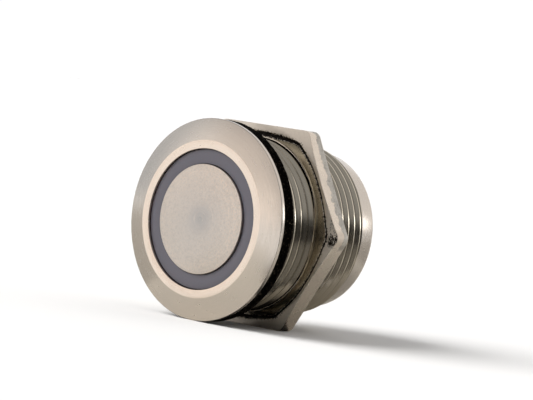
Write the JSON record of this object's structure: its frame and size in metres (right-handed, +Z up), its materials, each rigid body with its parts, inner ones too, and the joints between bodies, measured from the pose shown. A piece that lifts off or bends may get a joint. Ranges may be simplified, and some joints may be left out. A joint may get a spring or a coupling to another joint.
{
  "type": "touch dimmer switch",
  "caption": "Round metal touch dimmer for a panel hole: bevelled bezel, dark light ring, turned touch plate, foam gasket, threaded barrel with a hexagon nut and solder lugs.",
  "frame": {"origin": "on the barrel's axis, at the back of the bezel flange, where the face gasket starts", "axes": "+Y along the barrel from the touched face to the solder lugs, +Z up with one flat of the nut facing down"},
  "size_m": [0.025, 0.0235, 0.022],
  "materials": {
    "turned_steel": "turned, satin, warm reflections",
    "touch_face": "turned in fine rings",
    "nut_metal": "plated, rough along the rear of its sides",
    "foam_rubber": "fine closed-cell foam",
    "seal_rubber": "smooth",
    "smoked_plastic": "dark violet-grey, translucent",
    "clear_plastic": "clear",
    "black_plastic": "moulded",
    "board": "green solder mask",
    "chip_plastic": "moulded package",
    "chip_ceramic": "tan",
    "lamp_plastic": "diffuse lens",
    "spring_steel": "bright strip",
    "tinned_brass": "tinned"
  },
  "bodies": {
    "switch": {"housing": "turned_steel", "face_gasket": "foam_rubber", "touch_plate": "touch_face", "light_ring": "smoked_plastic", "front_seal": "seal_rubber", "light_guide": "clear_plastic", "stem_nut": "tinned_brass", "led_board": "board", "ring_leds": "lamp_plastic", "led_resistors": "chip_plastic", "contact_spring": "spring_steel", "control_board": "board", "touch_chip": "chip_plastic", "microcontroller": "chip_plastic", "chip_capacitors": "chip_ceramic", "header_pins": "tinned_brass", "front_header_strip": "black_plastic", "rear_header_strip": "black_plastic", "power_board": "board", "switching_transistor": "chip_plastic", "voltage_regulator": "chip_plastic", "reverse_diode": "chip_plastic", "store_capacitor": "chip_ceramic", "chip_resistors": "chip_plastic", "rear_plug": "black_plastic", "rear_seal": "seal_rubber", "retaining_clip": "spring_steel", "solder_lug_1": "tinned_brass", "solder_lug_2": "tinned_brass", "solder_lug_3": "tinned_brass", "solder_lug_4": "tinned_brass"},
    "nut": {"hex_nut": "nut_metal"}
  },
  "joints": [
    {"name": "nut_travel", "type": "slide", "parent": "switch", "child": "nut", "axis": [0, 1, 0], "range_m": [-0.005, 0.006]}
  ]
}
